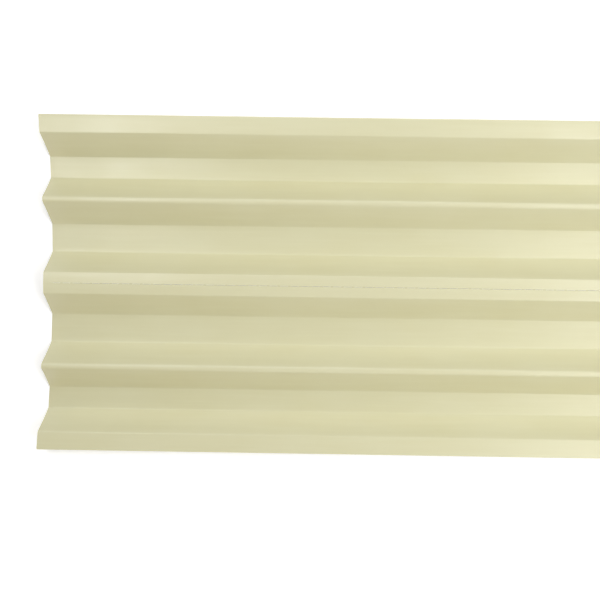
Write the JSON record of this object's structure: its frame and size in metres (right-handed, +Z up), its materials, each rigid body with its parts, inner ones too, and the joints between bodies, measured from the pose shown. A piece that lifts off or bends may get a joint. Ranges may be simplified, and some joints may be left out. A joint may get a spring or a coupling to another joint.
{
  "type": "rafter vent baffle",
  "caption": "Formed cream plastic sheet with lengthwise air channels, flat stapling flanges and a perforated split line along its middle ridge.",
  "frame": {"origin": "centre of the sheet in plan, on the underside of the channel floors", "axes": "+X along the rafters, +Y across the channels, +Z up through the ridges and flanges"},
  "size_m": [1.2192, 0.5716, 0.0381],
  "materials": {
    "sheet_plastic": "satin, lightly mottled, cream"
  },
  "bodies": {
    "root": {"formed_sheet": "sheet_plastic"}
  },
  "joints": []
}
